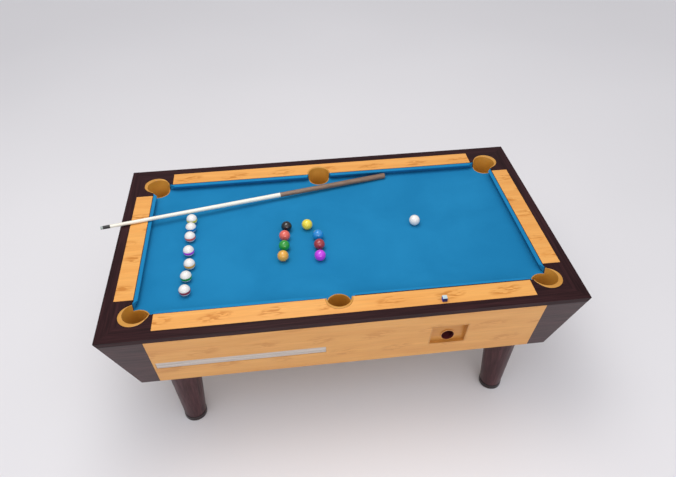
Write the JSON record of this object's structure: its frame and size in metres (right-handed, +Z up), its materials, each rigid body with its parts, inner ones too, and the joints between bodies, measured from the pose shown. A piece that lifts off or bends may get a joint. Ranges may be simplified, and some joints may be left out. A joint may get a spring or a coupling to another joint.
{
  "type": "pool table",
  "caption": "Bar-size pool table with blue cloth, inlaid wood rails, conical pocket cups, ball return, tapered legs, loose balls, cue and chalk.",
  "frame": {"origin": "on the floor under the centre of the table", "axes": "+X along the table's length, to the right of someone at the ball return side; +Y away from them; +Z up"},
  "size_m": [2.3487, 1.308, 0.8336],
  "materials": {
    "slate": "honed",
    "blue_cloth": "worsted nap",
    "plain_wood": "unfinished board",
    "dark_wood": "satin lacquer, wenge grain",
    "light_wood": "satin lacquer, maple grain",
    "pocket_tan": "moulded tan cup",
    "steel": "zinc plated",
    "clear_acrylic": "clear acrylic strip",
    "red_lining": "dark red lining",
    "foot_dark": "dark moulded foot",
    "tip_leather": "chalked leather",
    "ferrule_black": "polished",
    "cue_maple": "pale lacquered maple",
    "cue_butt_wood": "lacquered brown butt",
    "chalk_blue": "pressed chalk",
    "ball_white": "polished phenolic",
    "ball_yellow": "polished phenolic",
    "ball_blue": "polished phenolic",
    "ball_coral": "polished phenolic",
    "ball_magenta": "polished phenolic",
    "ball_gold": "polished phenolic",
    "ball_green": "polished phenolic",
    "ball_maroon": "polished phenolic",
    "ball_black": "polished phenolic",
    "ball_stripe_yellow": "polished phenolic with one yellow band",
    "ball_stripe_blue": "polished phenolic with one blue band",
    "ball_stripe_coral": "polished phenolic with one coral band",
    "ball_stripe_magenta": "polished phenolic with one magenta band",
    "ball_stripe_gold": "polished phenolic with one gold band",
    "ball_stripe_green": "polished phenolic with one green band",
    "ball_stripe_maroon": "polished phenolic with one maroon band"
  },
  "bodies": {
    "table": {"slate_bed": "slate", "bed_cloth": "blue_cloth", "slate_beams": "plain_wood", "rail_front": "dark_wood", "rail_back": "dark_wood", "rail_end_left": "dark_wood", "rail_end_right": "dark_wood", "inlay_front": "light_wood", "inlay_back": "light_wood", "inlay_ends": "light_wood", "cushion_front_left": "blue_cloth", "cushion_front_right": "blue_cloth", "cushion_back_left": "blue_cloth", "cushion_back_right": "blue_cloth", "cushion_end_left": "blue_cloth", "cushion_end_right": "blue_cloth", "pocket_front_left": "pocket_tan", "pocket_front_right": "pocket_tan", "pocket_back_left": "pocket_tan", "pocket_back_right": "pocket_tan", "pocket_front_side": "pocket_tan", "pocket_back_side": "pocket_tan", "apron_front": "light_wood", "apron_back": "light_wood", "end_panel_left": "dark_wood", "end_panel_right": "dark_wood", "corner_posts": "dark_wood", "cabinet_floor": "plain_wood", "bolts": "steel", "legs": "dark_wood", "window": "clear_acrylic", "return_box": "light_wood", "chute_sleeve": "red_lining", "ball_trough": "plain_wood", "ball_gutters": "red_lining"},
    "foot_front_left_pad": {"foot_front_left": "foot_dark"},
    "foot_back_left_pad": {"foot_back_left": "foot_dark"},
    "foot_front_right_pad": {"foot_front_right": "foot_dark"},
    "foot_back_right_pad": {"foot_back_right": "foot_dark"},
    "ball_cue_loose": {"ball_cue": "ball_white"},
    "ball_01_loose": {"ball_01": "ball_yellow"},
    "ball_02_loose": {"ball_02": "ball_blue"},
    "ball_03_loose": {"ball_03": "ball_coral"},
    "ball_04_loose": {"ball_04": "ball_magenta"},
    "ball_05_loose": {"ball_05": "ball_gold"},
    "ball_06_loose": {"ball_06": "ball_green"},
    "ball_07_loose": {"ball_07": "ball_maroon"},
    "ball_08_loose": {"ball_08": "ball_black"},
    "ball_09_loose": {"ball_09": "ball_stripe_yellow"},
    "ball_10_loose": {"ball_10": "ball_stripe_blue"},
    "ball_11_loose": {"ball_11": "ball_stripe_coral"},
    "ball_12_loose": {"ball_12": "ball_stripe_magenta"},
    "ball_13_loose": {"ball_13": "ball_stripe_gold"},
    "ball_14_loose": {"ball_14": "ball_stripe_green"},
    "ball_15_loose": {"ball_15": "ball_stripe_maroon"},
    "cue": {"cue_tip": "tip_leather", "cue_ferrule": "ferrule_black", "cue_shaft": "cue_maple", "cue_butt": "cue_butt_wood"},
    "chalk": {"chalk_cube": "chalk_blue"}
  },
  "joints": [
    {"name": "foot_front_left_turn", "type": "hinge", "parent": "table", "child": "foot_front_left_pad", "pos_m": [-0.819, -0.492, 0.03], "axis": [0, 0, 1], "continuous": true},
    {"name": "foot_back_left_turn", "type": "hinge", "parent": "table", "child": "foot_back_left_pad", "pos_m": [-0.819, 0.492, 0.03], "axis": [0, 0, 1], "continuous": true},
    {"name": "foot_front_right_turn", "type": "hinge", "parent": "table", "child": "foot_front_right_pad", "pos_m": [0.819, -0.492, 0.03], "axis": [0, 0, 1], "continuous": true},
    {"name": "foot_back_right_turn", "type": "hinge", "parent": "table", "child": "foot_back_right_pad", "pos_m": [0.819, 0.492, 0.03], "axis": [0, 0, 1], "continuous": true},
    {"name": "ball_cue_lift", "type": "slide", "parent": "table", "child": "ball_cue_loose", "axis": [0, 0, 1], "range_m": [0, 0.12]},
    {"name": "ball_01_lift", "type": "slide", "parent": "table", "child": "ball_01_loose", "axis": [0, 0, 1], "range_m": [0, 0.12]},
    {"name": "ball_02_lift", "type": "slide", "parent": "table", "child": "ball_02_loose", "axis": [0, 0, 1], "range_m": [0, 0.12]},
    {"name": "ball_03_lift", "type": "slide", "parent": "table", "child": "ball_03_loose", "axis": [0, 0, 1], "range_m": [0, 0.12]},
    {"name": "ball_04_lift", "type": "slide", "parent": "table", "child": "ball_04_loose", "axis": [0, 0, 1], "range_m": [0, 0.12]},
    {"name": "ball_05_lift", "type": "slide", "parent": "table", "child": "ball_05_loose", "axis": [0, 0, 1], "range_m": [0, 0.12]},
    {"name": "ball_06_lift", "type": "slide", "parent": "table", "child": "ball_06_loose", "axis": [0, 0, 1], "range_m": [0, 0.12]},
    {"name": "ball_07_lift", "type": "slide", "parent": "table", "child": "ball_07_loose", "axis": [0, 0, 1], "range_m": [0, 0.12]},
    {"name": "ball_08_lift", "type": "slide", "parent": "table", "child": "ball_08_loose", "axis": [0, 0, 1], "range_m": [0, 0.12]},
    {"name": "ball_09_lift", "type": "slide", "parent": "table", "child": "ball_09_loose", "axis": [0, 0, 1], "range_m": [0, 0.12]},
    {"name": "ball_10_lift", "type": "slide", "parent": "table", "child": "ball_10_loose", "axis": [0, 0, 1], "range_m": [0, 0.12]},
    {"name": "ball_11_lift", "type": "slide", "parent": "table", "child": "ball_11_loose", "axis": [0, 0, 1], "range_m": [0, 0.12]},
    {"name": "ball_12_lift", "type": "slide", "parent": "table", "child": "ball_12_loose", "axis": [0, 0, 1], "range_m": [0, 0.12]},
    {"name": "ball_13_lift", "type": "slide", "parent": "table", "child": "ball_13_loose", "axis": [0, 0, 1], "range_m": [0, 0.12]},
    {"name": "ball_14_lift", "type": "slide", "parent": "table", "child": "ball_14_loose", "axis": [0, 0, 1], "range_m": [0, 0.12]},
    {"name": "ball_15_lift", "type": "slide", "parent": "table", "child": "ball_15_loose", "axis": [0, 0, 1], "range_m": [0, 0.12]},
    {"name": "cue_lift", "type": "slide", "parent": "table", "child": "cue", "axis": [0, 0, 1], "range_m": [0, 0.15]},
    {"name": "chalk_lift", "type": "slide", "parent": "table", "child": "chalk", "axis": [0, 0, 1], "range_m": [0, 0.1]}
  ]
}
